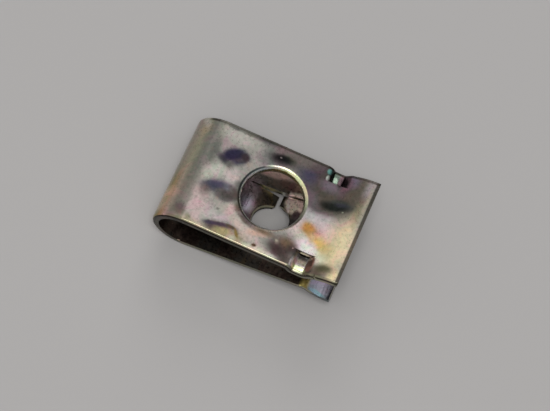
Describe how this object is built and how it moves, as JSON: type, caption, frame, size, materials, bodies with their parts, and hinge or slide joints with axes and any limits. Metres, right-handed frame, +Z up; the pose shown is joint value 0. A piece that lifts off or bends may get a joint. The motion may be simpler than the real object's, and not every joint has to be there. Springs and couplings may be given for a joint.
{
  "type": "u clip speed nut",
  "caption": "U-shaped clip of folded spring steel with a plain hole in one leg and thread-gripping tongues in the other; pushes over a panel edge to take a screw.",
  "frame": {"origin": "on the table, under the middle of the part's box, with the clip resting on its fold and the tips of its deeper tongue", "axes": "+X from the fold to the open end, +Y across the strip, +Z up, from the leg with the tongues to the leg with the plain hole"},
  "size_m": [0.021, 0.0126, 0.0081],
  "materials": {
    "zinc_plate": "iridescent chromate-passivated zinc plate on spring steel"
  },
  "bodies": {
    "root": {"u_clip": "zinc_plate"}
  },
  "joints": []
}
